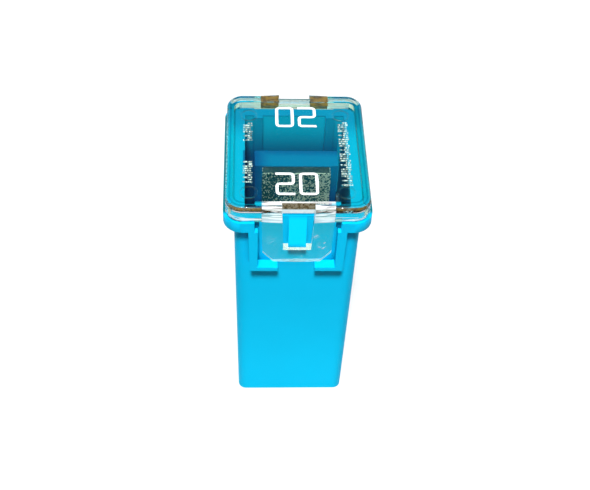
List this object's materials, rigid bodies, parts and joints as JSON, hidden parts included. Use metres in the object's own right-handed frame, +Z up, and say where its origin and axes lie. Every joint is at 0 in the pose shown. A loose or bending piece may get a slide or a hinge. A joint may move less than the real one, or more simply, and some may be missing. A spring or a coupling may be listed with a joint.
{
  "type": "cartridge fuse",
  "caption": "Upright cartridge fuse: a drafted blue box with a rim, a clear latched cover and rolled spring clips that plug down onto flat blades.",
  "frame": {"origin": "middle of the foot, on the plane the fuse stands on", "axes": "+Z up from the foot to the cover, Y the long way through the latches with the pictured side at -Y, X the narrow way"},
  "size_m": [0.0126, 0.0148, 0.027],
  "materials": {
    "blue_plastic": "satin moulded sky blue",
    "clear_plastic": "clear polished",
    "zinc": "dull stamped grey",
    "tinned_spring": "bright tin plate"
  },
  "bodies": {
    "root": {"housing": "blue_plastic", "cover": "clear_plastic", "fuse_element": "zinc", "front_clip": "tinned_spring", "rear_clip": "tinned_spring"}
  },
  "joints": []
}
